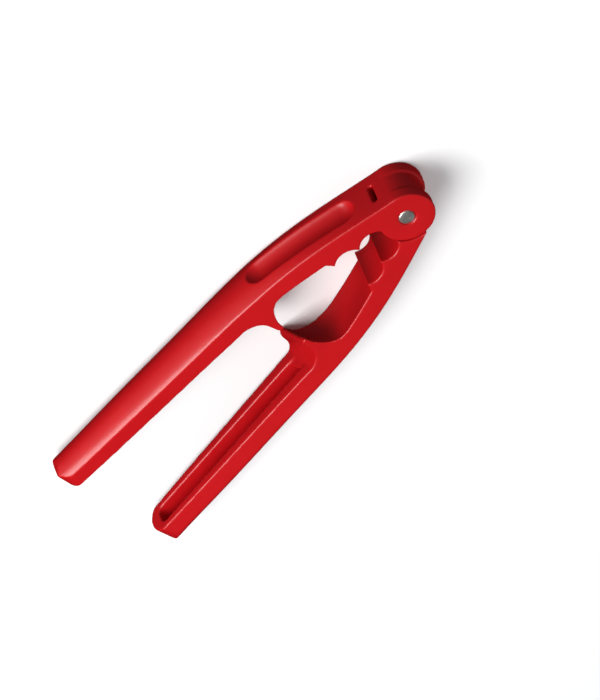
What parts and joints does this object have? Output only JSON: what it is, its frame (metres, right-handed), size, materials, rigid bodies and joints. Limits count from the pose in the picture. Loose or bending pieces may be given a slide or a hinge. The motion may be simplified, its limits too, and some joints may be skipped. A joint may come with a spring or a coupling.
{
  "type": "lobster cracker",
  "caption": "Hand-held cracker for lobster and crab claws: two arched levers with toothed, bowled jaws and channelled handles, hinged at one end on a pin.",
  "frame": {"origin": "bottom centre of the closed box around the part at rest, lying on its side with the jaws ajar", "axes": "+X from the hinge towards the handle tips, midway between the levers; +Y towards the lever with the tongue; +Z along the hinge pin, up"},
  "size_m": [0.174, 0.0628, 0.0194],
  "materials": {
    "red_lacquer": "smooth satin-gloss red lacquer over die-cast aluminium",
    "pin_steel": "turned steel, end faces with fine rings"
  },
  "bodies": {
    "upper": {"upper_lever": "red_lacquer", "hinge_pin": "pin_steel"},
    "lower": {"lower_lever": "red_lacquer"}
  },
  "joints": [
    {"name": "jaw_hinge", "type": "hinge", "parent": "upper", "child": "lower", "pos_m": [-0.07617, 0, 0.0097], "axis": [0, 0, 1], "range_deg": [-9, 60]}
  ]
}
